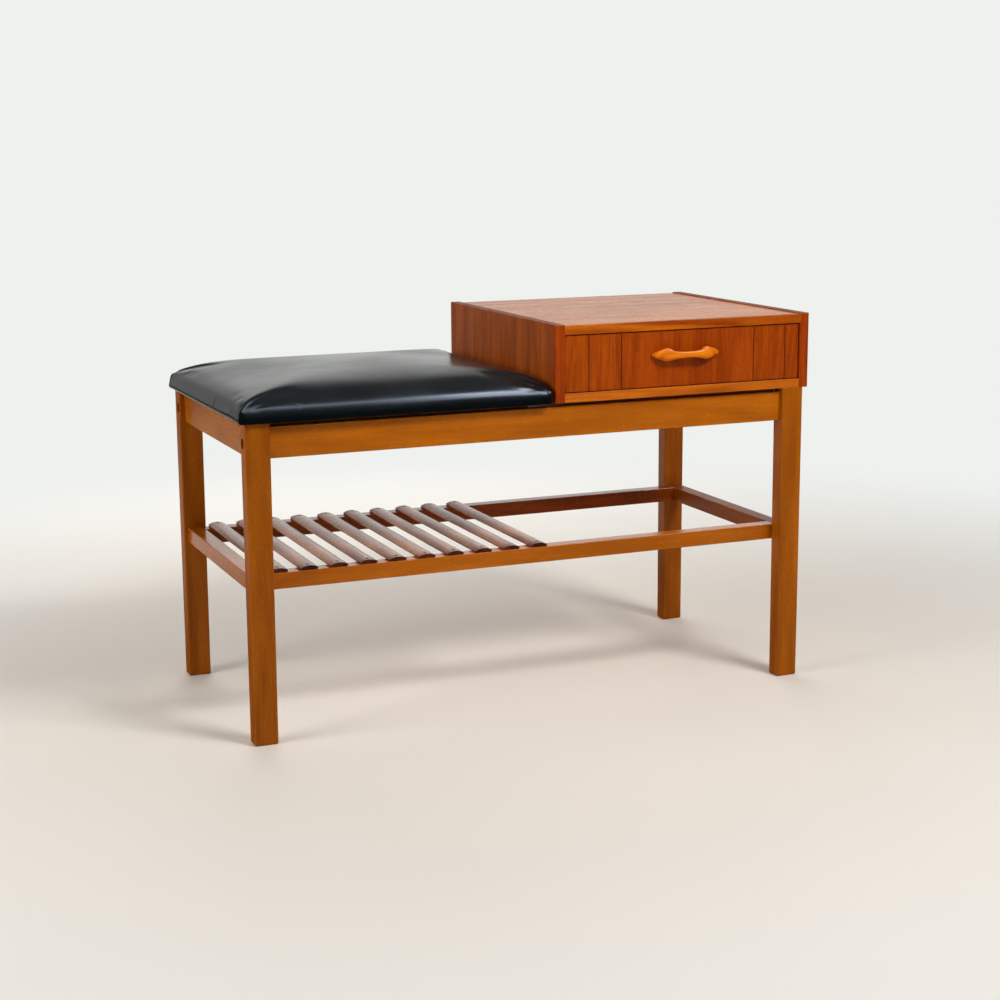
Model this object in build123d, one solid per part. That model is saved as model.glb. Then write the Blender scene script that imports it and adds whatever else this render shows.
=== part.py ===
from build123d import *
import os

# Telephone bench: a beech frame on four legs, a black padded seat over its left half,
# a teak cabinet with one drawer over its right half, and a shelf of ten slats below.
# Millimetres. X runs along the bench from left to right, the front looks along -Y,
# and the floor is Z = 0. While it is built, X = 0 is the left legs' outer face and
# Y = 0 is the front legs' front face. At the end everything moves so that the origin
# is in the middle of the footprint.

# ---- Frame: legs, top rails, shelf rails ------------------------------------------
frame_length = 835.0            # over the legs
frame_depth = 386.0             # over the legs
leg_height = 434.0
leg_width = 33.5                # along X, at the top
leg_depth = 25.0                # along Y, at the top
leg_foot_width = 32.2           # the inner faces taper towards the floor
leg_foot_depth = 24.0
leg_edge_radius = 1.8
foot_chamfer = 1.5

top_rail_height = 42.0
top_rail_drop = 5.7             # the top rails end this far below the legs' tops
top_rail_thickness = 16.5
top_rail_setback = 8.0          # from the legs' outer faces, all the way round
rail_edge_radius = 1.2
bearer_width = 24.0             # cross bearer under the seat's end and the cabinet
bearer_height = 36.0

shelf_height = 228.0            # top of the shelf rails
shelf_rail_height = 22.0
shelf_rail_thickness = 22.0
shelf_end_rail_thickness = 22.5
shelf_end_rail_setback = 5.5    # from the legs' outer faces
shelf_rail_clearance = 0.3      # between a long shelf rail and the legs beside it

# ---- Slats -------------------------------------------------------------------------
slat_count = 10
slat_width = 25.0
slat_thickness = 6.0
slat_edge_thickness = 2.6       # where the rounded top meets the flat bottom
slat_edge_round = 1.2           # how far in from its edge the slat's bottom starts
slat_pitch = 42.1
slat_first = 48.0               # the first slat's middle, from the left legs' outer face
slat_end_setback = 2.5          # from the shelf rails' outer faces

# ---- Seat --------------------------------------------------------------------------
seat_overhang_left = 9.0
seat_overhang_front = 9.0
seat_overhang_rear = 6.0
seat_gap = 4.0                  # between the seat and the cabinet
seat_corner_radius = 10.0
seat_side_height = 18.0         # where the side starts to roll over into the top
seat_crown_height = 47.5
seat_near_roll = 8.0            # how steeply the side rolls over, at the front and left
seat_near_shoulder = 48.0       # from there to where the top is nearly level
seat_far_roll = 22.0            # the same at the rear and right, where the padding is fuller
seat_far_shoulder = 31.0
seat_bottom_radius = 5.0
cover_thickness = 1.0
cover_hem = 22.0                # width of cover that is turned under and stapled
board_thickness = 12.0
board_inset = 5.0               # from the cover's outer face, padded over with foam
staple_crown = 10.0
staple_wire = 0.8
staple_leg = 6.0
staple_spacing = 48.0
staple_edge = 12.0              # from the board's edge

# ---- Cabinet -----------------------------------------------------------------------
cabinet_width = 402.5
cabinet_height = 108.0
cabinet_overhang_right = 7.0
cabinet_overhang_front = 0.5
cabinet_overhang_rear = 4.4
side_thickness = 14.2
panel_thickness = 12.8          # top and bottom
side_rise = 1.5                 # the sides stand this far above the top
lip_depth = 8.0                 # solid front edges of the veneered boards
lip_edge_radius = 0.8
back_thickness = 4.0
back_rebate = 6.0
back_clearance = 0.2

# ---- Drawer ------------------------------------------------------------------------
drawer_gap = 1.4                # around the drawer front
drawer_setback = 2.5            # of the drawer front from the cabinet's front edges
drawer_front_thickness = 16.0
drawer_box_clearance = 1.6      # each side, between drawer box and cabinet
drawer_box_height = 62.0
drawer_box_rise = 3.0           # of the drawer box above the cabinet's bottom
drawer_length = 340.0           # from the drawer front's face to the box's end
drawer_side_thickness = 11.0
drawer_bottom_thickness = 4.0
drawer_bottom_rise = 7.0
drawer_housing = 5.0            # how deep sides and bottom sit in the pieces around them
runner_height = 10.0
runner_play = 0.3               # above the runner, in the drawer side's groove
groove_depth = 5.0
groove_rise = 28.0              # from the drawer side's lower edge to the groove
groove_end = 14.0               # solid wood left at the groove's front end

handle_length = 106.0
handle_rise = 6.0               # of the handle above the drawer front's middle
handle_screw_spread = 60.0      # between the two screws, in the thick lobes
handle_foot_radius = 4.5
handle_lobe_reach = 8.4         # of the lobes' middles from the drawer front
handle_bow_reach = 13.4         # of the thin middle from the drawer front

# ---- Fastenings --------------------------------------------------------------------
dowel_radius = 3.0
dowel_length = 28.0
dowel_spread = 22.0             # between the two dowels of a top rail's end
dowel_spread_small = 10.0       # between the two dowels of a shelf rail's end
fit = 0.05                      # radial clearance of dowels, bolts, nails and screws
end_room = 0.5                  # room at the end of a blind hole

bolt_radius = 4.0
bolt_length = 62.0
bolt_head_radius = 6.5
bolt_head_height = 8.0
bolt_counterbore_radius = 7.0
bolt_counterbore_depth = 15.0
bolt_socket_width = 6.0
barrel_nut_radius = 6.0
barrel_nut_length = 13.0
barrel_nut_inset = 30.0         # from the rail's end

nail_radius = 0.9
nail_head_radius = 1.4
nail_head_height = 0.8
nail_length = 22.0
nail_sink = 0.4                 # of a slat nail's head below the slat's crown
pin_length = 14.0               # short nails of the back and the drawer

screw_radius = 2.0
screw_head_radius = 4.0
screw_head_height = 2.4
screw_length = 30.0
small_screw_length = 16.0
handle_screw_length = 26.0

cleat_section = 20.0            # battens that hold seat and cabinet down to the long rails
cleat_end_gap = 0.5             # from a batten's ends to what it runs up to
cleat_screw_inset = 60.0        # from a batten's ends to its pairs of screws
cleat_screw_pair = 25.0         # from the upright screw of a pair to its level one

# ---- Places that follow from the sizes ----------------------------------------------
leg_sides_x = (0.0, frame_length)
leg_sides_y = (0.0, frame_depth)
top_rail_top = leg_height - top_rail_drop
top_rail_bottom = top_rail_top - top_rail_height
top_rail_middle = (top_rail_top + top_rail_bottom) / 2
top_rail_inner = top_rail_setback + top_rail_thickness

shelf_bottom = shelf_height - shelf_rail_height
shelf_middle = (shelf_height + shelf_bottom) / 2
shelf_end_inner = shelf_end_rail_setback + shelf_end_rail_thickness
shelf_rail_outer = leg_depth + shelf_rail_clearance
shelf_rail_inner = shelf_rail_outer + shelf_rail_thickness

cabinet_right = frame_length + cabinet_overhang_right
cabinet_left = cabinet_right - cabinet_width
cabinet_front = -cabinet_overhang_front
cabinet_rear = frame_depth + cabinet_overhang_rear
cabinet_top = leg_height + cabinet_height
inner_left = cabinet_left + side_thickness
inner_right = cabinet_right - side_thickness
inner_bottom = leg_height + panel_thickness
panel_top = cabinet_top - side_rise
inner_top = panel_top - panel_thickness

seat_left = -seat_overhang_left
seat_right = cabinet_left - seat_gap
seat_front = -seat_overhang_front
seat_rear = frame_depth + seat_overhang_rear
board_bottom = leg_height + cover_thickness
board_top = board_bottom + board_thickness

bearer_right = inner_left
bearer_left = bearer_right - bearer_width

drawer_face = cabinet_front + drawer_setback
drawer_face_back = drawer_face + drawer_front_thickness
drawer_end = drawer_face + drawer_length
box_left = inner_left + drawer_box_clearance
box_right = inner_right - drawer_box_clearance
box_bottom = inner_bottom + drawer_box_rise
box_top = box_bottom + drawer_box_height
groove_bottom = box_bottom + groove_rise
groove_top = groove_bottom + runner_height + 2 * runner_play
groove_front = drawer_face_back + groove_end

handle_middle_x = (inner_left + inner_right) / 2
handle_middle_z = (inner_bottom + inner_top) / 2 + handle_rise

# Along the handle: share of its half length, the middle's distance from the drawer
# front, and the half thicknesses outwards (Y) and upwards (Z).
handle_sections = (
    (1.00, 2.6, 1.6, 2.0),
    (0.90, 4.4, 3.8, 4.8),
    (0.74, 6.6, 5.8, 7.6),
    (0.58, handle_lobe_reach, 7.0, 9.6),
    (0.42, 10.6, 5.8, 7.4),
    (0.21, 12.8, 4.7, 5.2),
    (0.00, handle_bow_reach, 4.4, 4.6),
)
handle_reach = handle_sections[-1][1] + handle_sections[-1][2]

foremost = drawer_face - handle_reach
rearmost = max(cabinet_rear, seat_rear)
origin_x = (seat_left + cabinet_right) / 2
origin_y = (foremost + rearmost) / 2

nodes = {}


# ---- Helpers -----------------------------------------------------------------------
def block(x, y, z):
    """A square-edged piece between three pairs of planes, given in any order."""
    low = (min(x), min(y), min(z))
    size = (abs(x[1] - x[0]), abs(y[1] - y[0]), abs(z[1] - z[0]))
    return Pos(*low) * Box(*size, align=(Align.MIN, Align.MIN, Align.MIN))


def bar(start, direction, radius, length):
    """A round bar that starts at a point and runs along a direction."""
    centred = (Align.CENTER, Align.CENTER, Align.MIN)
    return Plane(origin=start, z_dir=direction) * Cylinder(radius, length, align=centred)


def step_along(start, direction, distance):
    """The point at a distance from a start, along a unit direction."""
    return tuple(s + d * distance for s, d in zip(start, direction))


def mirrored(value, total):
    """A distance from the near side, and the same distance from the far side."""
    return (value, total - value)


def eased(solid, axis, radius):
    """Rounds the long edges of a rail that runs along an axis."""
    return fillet(solid.edges().filter_by(axis), radius)


def screw(start, direction, length):
    """A countersunk screw whose head lies level with the surface at its start."""
    cone = Plane(origin=start, z_dir=direction) * Cone(
        screw_head_radius, screw_radius, screw_head_height,
        align=(Align.CENTER, Align.CENTER, Align.MIN))
    return cone + bar(start, direction, screw_radius, length)


def screw_hole(start, direction, length):
    """The hole that a screw fills, with its clearance."""
    cone = Plane(origin=start, z_dir=direction) * Cone(
        screw_head_radius + fit, screw_radius + fit, screw_head_height,
        align=(Align.CENTER, Align.CENTER, Align.MIN))
    return cone + bar(start, direction, screw_radius + fit, length + end_room)


def nail(start, direction, length):
    """A flat-headed nail whose head starts at a point."""
    head = bar(start, direction, nail_head_radius, nail_head_height)
    return head + bar(start, direction, nail_radius, length)


def nail_hole(start, direction, length, sink=0.0):
    """The hole that a nail makes, from a little above its head."""
    above = step_along(start, direction, -sink - end_room)
    head = bar(above, direction, nail_head_radius + fit, sink + end_room + nail_head_height)
    return head + bar(start, direction, nail_radius + fit, length + end_room)


def without(solid, tools):
    """Cuts a list of tools out of a solid."""
    for tool in tools:
        solid = solid - tool
    return solid


def group(shapes):
    """Separate solids that share one node."""
    return Compound([solid for shape in shapes for solid in shape.solids()])


# ---- Dowels ------------------------------------------------------------------------
dowel_pegs = {"frame_dowels": [], "shelf_dowels": [], "cabinet_dowels": []}
dowel_holes = []


def dowel(node, middle, direction, inward=0.5):
    """One dowel across a joint; inward is the share of it beyond the joint."""
    start = step_along(middle, direction, -(1 - inward) * dowel_length)
    dowel_pegs[node].append(bar(start, direction, dowel_radius, dowel_length))
    hole_start = step_along(start, direction, -end_room)
    hole = bar(hole_start, direction, dowel_radius + fit, dowel_length + 2 * end_room)
    dowel_holes.append(hole)


def leg_size_at(z):
    """Width and depth of a tapered leg at a height."""
    share = z / leg_height
    width = leg_foot_width + (leg_width - leg_foot_width) * share
    depth = leg_foot_depth + (leg_depth - leg_foot_depth) * share
    return width, depth


def inward(side, total):
    """+1 on the near side and -1 on the far side: the way towards the middle."""
    return 1 if side < total / 2 else -1


top_leg_width, top_leg_depth = leg_size_at(top_rail_middle)
shelf_leg_depth = leg_size_at(shelf_middle)[1]
end_rail_middle = top_rail_setback + top_rail_thickness / 2
shelf_end_middle = shelf_end_rail_setback + shelf_end_rail_thickness / 2
shelf_rail_middle = (shelf_rail_outer + shelf_rail_inner) / 2
leg_dowel_share = 0.58          # share of a dowel that sits in the rail, not in the leg

for side_x in leg_sides_x:
    into_x = inward(side_x, frame_length)
    for side_y in leg_sides_y:
        into_y = inward(side_y, frame_depth)
        for offset in (-dowel_spread / 2, dowel_spread / 2):
            joint = (side_x + into_x * end_rail_middle,
                     side_y + into_y * top_leg_depth, top_rail_middle + offset)
            dowel("frame_dowels", joint, (0, into_y, 0), leg_dowel_share)
        for offset in (-dowel_spread_small / 2, dowel_spread_small / 2):
            joint = (side_x + into_x * shelf_end_middle + offset,
                     side_y + into_y * shelf_leg_depth, shelf_middle)
            dowel("shelf_dowels", joint, (0, into_y, 0), leg_dowel_share)
            joint = (side_x + into_x * shelf_end_inner,
                     side_y + into_y * shelf_rail_middle, shelf_middle + offset)
            dowel("shelf_dowels", joint, (into_x, 0, 0))

for side_y in leg_sides_y:
    into_y = inward(side_y, frame_depth)
    for offset in (-dowel_spread_small / 2, dowel_spread_small / 2):
        joint = (bearer_left + bearer_width / 2 + offset,
                 side_y + into_y * top_rail_inner, top_rail_middle)
        dowel("frame_dowels", joint, (0, into_y, 0), leg_dowel_share)

panel_dowel_share = 0.66        # share of a cabinet dowel that sits in the panel's end
panel_dowel_inset = 50.0
panel_depth_middle = (cabinet_front + cabinet_rear) / 2
for face_x, into_x in ((inner_left, 1), (inner_right, -1)):
    for panel_z in ((leg_height + inner_bottom) / 2, (inner_top + panel_top) / 2):
        for y in (cabinet_front + panel_dowel_inset, panel_depth_middle,
                  cabinet_rear - panel_dowel_inset):
            dowel("cabinet_dowels", (face_x, y, panel_z), (into_x, 0, 0), panel_dowel_share)

# ---- Frame bolts and their barrel nuts ----------------------------------------------
bolts, bolt_holes, barrel_nuts, barrel_holes = [], [], [], []
bolt_head_depth = bolt_counterbore_depth - bolt_head_height
for side_x in leg_sides_x:
    into_x = inward(side_x, frame_length)
    for side_y in leg_sides_y:
        into_y = inward(side_y, frame_depth)
        face = (side_x, side_y + into_y * end_rail_middle, top_rail_middle)
        along = (into_x, 0, 0)
        head_start = step_along(face, along, bolt_head_depth)
        shank_start = step_along(face, along, bolt_counterbore_depth)
        socket = Plane(origin=head_start, z_dir=along) * extrude(
            RegularPolygon(bolt_socket_width / 2, 6, major_radius=False),
            bolt_head_height / 2)
        bolts.append(bar(head_start, along, bolt_head_radius, bolt_head_height)
                     + bar(shank_start, along, bolt_radius, bolt_length) - socket)
        bolt_holes.append(bar(face, along, bolt_counterbore_radius, bolt_counterbore_depth)
                          + bar(face, along, bolt_radius + fit,
                                bolt_counterbore_depth + bolt_length + end_room))
        nut_x = side_x + into_x * (top_leg_width + barrel_nut_inset)
        nut_y = side_y + into_y * top_rail_inner
        outward_y = (0, -into_y, 0)
        nut_start = (nut_x, nut_y, top_rail_middle)
        barrel_holes.append(bar(nut_start, outward_y, barrel_nut_radius + fit,
                                barrel_nut_length + end_room))
        barrel_nuts.append(bar(nut_start, outward_y, barrel_nut_radius, barrel_nut_length)
                           - bolt_holes[-1])

# ---- Legs --------------------------------------------------------------------------
leg_blanks = {}
leg_names = {(0.0, 0.0): "leg_front_left", (0.0, frame_depth): "leg_rear_left",
             (frame_length, 0.0): "leg_front_right",
             (frame_length, frame_depth): "leg_rear_right"}
for (side_x, side_y), name in leg_names.items():
    align = (Align.MIN if side_x == 0 else Align.MAX, Align.MIN if side_y == 0 else Align.MAX)
    foot = Pos(side_x, side_y, 0) * Rectangle(leg_foot_width, leg_foot_depth, align=align)
    top = Pos(side_x, side_y, leg_height) * Rectangle(leg_width, leg_depth, align=align)
    blank = loft([foot, top])
    leg_blanks[name] = blank
    upright = [edge for edge in blank.edges() if abs(edge.tangent_at(0.5).Z) > 0.9]
    leg = fillet(upright, leg_edge_radius)
    leg = chamfer(leg.faces().sort_by(Axis.Z)[0].edges(), foot_chamfer)
    nodes[name] = without(leg, bolt_holes + dowel_holes)

all_blanks = list(leg_blanks.values())

# ---- Cleats that hold the seat and the cabinet down ----------------------------------
cleats = {"seat_cleats": [], "cabinet_cleats": []}
cleat_screws, cleat_holes = [], []
hem_reach = board_inset + cover_hem     # the cover's hem ends this far in from the seat's sides
cleat_reaches = {"seat_cleats": (max(leg_width, seat_left + hem_reach),
                                 min(bearer_left, seat_right - hem_reach), board_bottom),
                 "cabinet_cleats": (bearer_right, frame_length - leg_width, leg_height)}
for name, (from_x, to_x, cleat_top) in cleat_reaches.items():
    cleat_bottom = cleat_top - cleat_section
    cleat_middle = cleat_bottom + cleat_section / 2
    for side_y in leg_sides_y:
        into_y = inward(side_y, frame_depth)
        rail_y = side_y + into_y * top_rail_inner
        cleat_y = rail_y + into_y * cleat_section
        cleats[name].append(block((from_x + cleat_end_gap, to_x - cleat_end_gap),
                                  (rail_y, cleat_y), (cleat_bottom, cleat_top)))
        for x in (from_x + cleat_screw_inset, to_x - cleat_screw_inset):
            up_start = (x - cleat_screw_pair / 2, (rail_y + cleat_y) / 2, cleat_bottom)
            side_start = (x + cleat_screw_pair / 2, cleat_y, cleat_middle)
            for start, along in ((up_start, (0, 0, 1)), (side_start, (0, -into_y, 0))):
                cleat_screws.append(screw(start, along, screw_length))
                cleat_holes.append(screw_hole(start, along, screw_length))
for name, solids in cleats.items():
    nodes[name] = group(without(solid, cleat_holes) for solid in solids)
nodes["cleat_screws"] = group(cleat_screws)

# ---- Cross bearer: lapped over both top rails ----------------------------------------
bearer_body = block((bearer_left, bearer_right), mirrored(top_rail_inner, frame_depth),
                    (leg_height - bearer_height, leg_height))
bearer_tongues = block((bearer_left, bearer_right), mirrored(top_rail_setback, frame_depth),
                       (top_rail_top, leg_height))
nodes["cross_bearer"] = without(bearer_body + bearer_tongues, dowel_holes)

# ---- Top rails -----------------------------------------------------------------------
long_rails = []
for name, side_y in (("top_rail_front", 0.0), ("top_rail_rear", frame_depth)):
    into_y = inward(side_y, frame_depth)
    rail = block(mirrored(leg_size_at(top_rail_bottom)[0], frame_length),
                 (side_y + into_y * top_rail_setback, side_y + into_y * top_rail_inner),
                 (top_rail_bottom, top_rail_top))
    rail = eased(rail, Axis.X, rail_edge_radius)
    long_rails.append(rail)
    nodes[name] = without(rail, all_blanks + bolt_holes + barrel_holes + dowel_holes + cleat_holes)

for name, side_x in (("top_end_rail_left", 0.0), ("top_end_rail_right", frame_length)):
    into_x = inward(side_x, frame_length)
    rail = block((side_x + into_x * top_rail_setback, side_x + into_x * top_rail_inner),
                 mirrored(leg_depth / 2, frame_depth), (top_rail_bottom, top_rail_top))
    rail = eased(rail, Axis.Y, rail_edge_radius)
    nodes[name] = without(rail, all_blanks + long_rails + dowel_holes)

nodes["frame_bolts"] = group(bolts)
nodes["barrel_nuts"] = group(barrel_nuts)

# ---- Slats and their nails -------------------------------------------------------------
slat_front = shelf_rail_outer + slat_end_setback
slat_rear = frame_depth - slat_front
slat_half = slat_width / 2
slat_outline = make_face([
    Line((-slat_half + slat_edge_round, 0), (slat_half - slat_edge_round, 0)),
    Line((slat_half - slat_edge_round, 0), (slat_half, slat_edge_thickness)),
    ThreePointArc((slat_half, slat_edge_thickness), (0, slat_thickness),
                  (-slat_half, slat_edge_thickness)),
    Line((-slat_half, slat_edge_thickness), (-slat_half + slat_edge_round, 0)),
])
slat_nails, slat_nail_holes = [], []
for index in range(slat_count):
    x = slat_first + index * slat_pitch
    slat_plane = Plane(origin=(x, slat_rear, shelf_height), x_dir=(1, 0, 0), z_dir=(0, -1, 0))
    slat = slat_plane * extrude(slat_outline, slat_rear - slat_front)
    head_z = shelf_height + slat_thickness - nail_sink
    holes = []
    for y in mirrored(shelf_rail_middle, frame_depth):
        slat_nails.append(nail((x, y, head_z), (0, 0, -1), nail_length))
        holes.append(nail_hole((x, y, head_z), (0, 0, -1), nail_length, nail_sink))
    nodes[f"slat_{index + 1:02d}"] = without(slat, holes)
    slat_nail_holes += holes
nodes["slat_nails"] = group(slat_nails)

# ---- Shelf rails -----------------------------------------------------------------------
for name, side_y in (("shelf_rail_front", 0.0), ("shelf_rail_rear", frame_depth)):
    into_y = inward(side_y, frame_depth)
    rail = block(mirrored(shelf_end_inner, frame_length),
                 (side_y + into_y * shelf_rail_outer, side_y + into_y * shelf_rail_inner),
                 (shelf_bottom, shelf_height))
    nodes[name] = without(eased(rail, Axis.X, rail_edge_radius), dowel_holes + slat_nail_holes)

for name, side_x in (("shelf_end_rail_left", 0.0), ("shelf_end_rail_right", frame_length)):
    into_x = inward(side_x, frame_length)
    rail = block((side_x + into_x * shelf_end_rail_setback, side_x + into_x * shelf_end_inner),
                 mirrored(leg_foot_depth / 2, frame_depth), (shelf_bottom, shelf_height))
    nodes[name] = without(eased(rail, Axis.Y, rail_edge_radius), all_blanks + dowel_holes)


# ---- Seat ------------------------------------------------------------------------------
def crown_outline(low, high, inset):
    """The seat's outline across one way, from a near side (front or left) to a far side."""
    left, right = low + inset, high - inset
    middle = (left + right) / 2
    base = leg_height + inset
    side = leg_height + seat_side_height
    crown = leg_height + seat_crown_height - inset
    radius = seat_bottom_radius - inset
    near_roll = seat_near_roll - inset
    far_roll = seat_far_roll - inset
    return make_face([
        Line((left + radius, base), (right - radius, base)),
        RadiusArc((right - radius, base), (right, base + radius), -radius),
        Line((right, base + radius), (right, side)),
        Bezier((right, side), (right, side + far_roll), (right - seat_far_shoulder, crown),
               (middle, crown)),
        Bezier((middle, crown), (left + seat_near_shoulder, crown), (left, side + near_roll),
               (left, side)),
        Line((left, side), (left, base + radius)),
        RadiusArc((left, base + radius), (left + radius, base), -radius),
    ])


def crowned_pad(inset):
    """The seat's outer shape, drawn in by an inset on every side."""
    along_x = crown_outline(seat_left, seat_right, inset)
    along_y = crown_outline(seat_front, seat_rear, inset)
    front_view = Plane(origin=(0, seat_rear, 0), x_dir=(1, 0, 0), z_dir=(0, -1, 0))
    side_view = Plane(origin=(seat_left, 0, 0), x_dir=(0, 1, 0), z_dir=(1, 0, 0))
    plan = RectangleRounded(seat_right - seat_left - 2 * inset,
                            seat_rear - seat_front - 2 * inset, seat_corner_radius - inset)
    middle = ((seat_left + seat_right) / 2, (seat_front + seat_rear) / 2, leg_height)
    upright = Pos(*middle) * extrude(plan, seat_crown_height)
    return (front_view * extrude(along_x, seat_rear - seat_front)
            & side_view * extrude(along_y, seat_right - seat_left) & upright)


board_x = (seat_left + board_inset, seat_right - board_inset)
board_y = (seat_front + board_inset, seat_rear - board_inset)
board = block(board_x, board_y, (board_bottom, board_top))
board = eased(board, Axis.Z, seat_corner_radius - board_inset)
pad_inside = crowned_pad(cover_thickness)

staples = []
for x_line in (board_x[0] + staple_edge, board_x[1] - staple_edge):
    run = board_y[1] - board_y[0] - 2 * staple_spacing
    count = max(2, round(run / staple_spacing))
    for index in range(count + 1):
        y = board_y[0] + staple_spacing + run * index / count
        staples.append(((x_line, y), (0, 1)))
for y_line in (board_y[0] + staple_edge, board_y[1] - staple_edge):
    run = board_x[1] - board_x[0] - 2 * staple_spacing
    count = max(2, round(run / staple_spacing))
    for index in range(count + 1):
        x = board_x[0] + staple_spacing + run * index / count
        staples.append(((x, y_line), (1, 0)))


def staple(place, run):
    """A wire staple driven up through the cover's hem into the board."""
    x, y = place
    half_x = (staple_crown * run[0] + staple_wire * run[1]) / 2
    half_y = (staple_crown * run[1] + staple_wire * run[0]) / 2
    crown = block((x - half_x, x + half_x), (y - half_y, y + half_y),
                  (leg_height, leg_height + staple_wire))
    for end in (-1, 1):
        leg_x = x + end * run[0] * (staple_crown - staple_wire) / 2
        leg_y = y + end * run[1] * (staple_crown - staple_wire) / 2
        crown = crown + block((leg_x - staple_wire / 2, leg_x + staple_wire / 2),
                              (leg_y - staple_wire / 2, leg_y + staple_wire / 2),
                              (leg_height, leg_height + staple_leg))
    return crown


staple_solids = [staple(place, run) for place, run in staples]
hem_window = block((board_x[0] + cover_hem, board_x[1] - cover_hem),
                   (board_y[0] + cover_hem, board_y[1] - cover_hem),
                   (leg_height, board_bottom))
nodes["seat_board"] = without(board, staple_solids + cleat_holes)
nodes["seat_foam"] = pad_inside - board
nodes["seat_cover"] = without(crowned_pad(0.0) - pad_inside, [hem_window] + staple_solids)
nodes["seat_staples"] = group(staple_solids)

# ---- Cabinet ---------------------------------------------------------------------------
lip_back = cabinet_front + lip_depth
back_front = cabinet_rear - back_thickness
rebate = block((inner_left - back_rebate, inner_right + back_rebate), (back_front, cabinet_rear),
               (inner_bottom - back_rebate, inner_top + back_rebate))
back = block((inner_left - back_rebate + back_clearance, inner_right + back_rebate - back_clearance),
             (back_front, cabinet_rear),
             (inner_bottom - back_rebate + back_clearance, inner_top + back_rebate - back_clearance))

runner_front = groove_front + runner_play
runner_rear = back_front
runner_reach = drawer_box_clearance + groove_depth - runner_play
runner_middle_z = groove_bottom + runner_play + runner_height / 2
runner_screw_inset = 40.0
runner_screws, runner_holes = [], []
for face_x, into_x in ((inner_left, 1), (inner_right, -1)):
    for y in (runner_front + runner_screw_inset, runner_rear - runner_screw_inset):
        start = (face_x + into_x * runner_reach, y, runner_middle_z)
        runner_screws.append(screw(start, (-into_x, 0, 0), small_screw_length))
        runner_holes.append(screw_hole(start, (-into_x, 0, 0), small_screw_length))

back_nails, back_nail_holes = [], []
back_nail_rows = 4
for z in (inner_bottom - back_rebate / 2, inner_top + back_rebate / 2):
    for index in range(back_nail_rows):
        x = inner_left + (inner_right - inner_left) * (index + 0.5) / back_nail_rows
        back_nails.append(nail((x, cabinet_rear, z), (0, -1, 0), pin_length))
        back_nail_holes.append(nail_hole((x, cabinet_rear, z), (0, -1, 0), pin_length))

cabinet_cuts = [rebate] + dowel_holes + runner_holes + back_nail_holes + cleat_holes
for name, near, far in (("cabinet_side_left", cabinet_left, inner_left),
                        ("cabinet_side_right", inner_right, cabinet_right)):
    side = block((near, far), (lip_back, cabinet_rear), (leg_height, cabinet_top))
    nodes[name] = without(eased(side, Axis.Y, lip_edge_radius), cabinet_cuts)
for name, low, high in (("cabinet_top", inner_top, panel_top),
                        ("cabinet_bottom", leg_height, inner_bottom)):
    panel = block((inner_left, inner_right), (lip_back, cabinet_rear), (low, high))
    nodes[name] = without(panel, cabinet_cuts)
for name, near, far in (("lip_left", cabinet_left, inner_left),
                        ("lip_right", inner_right, cabinet_right)):
    lip = block((near, far), (cabinet_front, lip_back), (leg_height, cabinet_top))
    lip = eased(lip, Axis.Y, lip_edge_radius)
    nodes[name] = fillet(lip.faces().sort_by(Axis.Y)[0].edges(), lip_edge_radius / 2)
for name, low, high in (("lip_top", inner_top, panel_top),
                        ("lip_bottom", leg_height, inner_bottom)):
    lip = block((inner_left, inner_right), (cabinet_front, lip_back), (low, high))
    front_edges = lip.faces().sort_by(Axis.Y)[0].edges().filter_by(Axis.X)
    nodes[name] = fillet(front_edges, lip_edge_radius)
nodes["cabinet_back"] = without(back, back_nail_holes)
nodes["back_nails"] = group(back_nails)
for name, face_x, into_x in (("runner_left", inner_left, 1), ("runner_right", inner_right, -1)):
    runner = block((face_x, face_x + into_x * runner_reach), (runner_front, runner_rear),
                   (groove_bottom + runner_play, groove_top - runner_play))
    nodes[name] = without(runner, runner_holes)
nodes["runner_screws"] = group(runner_screws)

# ---- Drawer ----------------------------------------------------------------------------
box_inner_left = box_left + drawer_side_thickness
box_inner_right = box_right - drawer_side_thickness
bottom_low = box_bottom + drawer_bottom_rise
bottom_high = bottom_low + drawer_bottom_thickness
back_wall_front = drawer_end - drawer_side_thickness
housing_back = drawer_face_back - drawer_housing

drawer_bottom = block((box_inner_left - drawer_housing, box_inner_right + drawer_housing),
                      (housing_back, drawer_end), (bottom_low, bottom_high))
drawer_walls = {}
groove_tools = []
for name, outer, inner in (("drawer_side_left", box_left, box_inner_left),
                           ("drawer_side_right", box_right, box_inner_right)):
    into_x = 1 if inner > outer else -1
    drawer_walls[name] = block((outer, inner), (housing_back, drawer_end), (box_bottom, box_top))
    groove_tools.append(block((outer, outer + into_x * groove_depth), (groove_front, drawer_end),
                              (groove_bottom, groove_top)))

drawer_pins, drawer_pin_holes = [], []
pin_rows = (bottom_high + (box_top - bottom_high) / 4, box_top - (box_top - bottom_high) / 6)
for outer, into_x in ((box_left, 1), (box_right, -1)):
    for z in pin_rows:
        start = (outer, drawer_end - drawer_side_thickness / 2, z)
        drawer_pins.append(nail(start, (into_x, 0, 0), nail_length))
        drawer_pin_holes.append(nail_hole(start, (into_x, 0, 0), nail_length))
for share in (0.25, 0.5, 0.75):
    start = (box_inner_left + (box_inner_right - box_inner_left) * share,
             drawer_end - drawer_side_thickness / 2, bottom_low)
    drawer_pins.append(nail(start, (0, 0, 1), pin_length))
    drawer_pin_holes.append(nail_hole(start, (0, 0, 1), pin_length))

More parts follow.
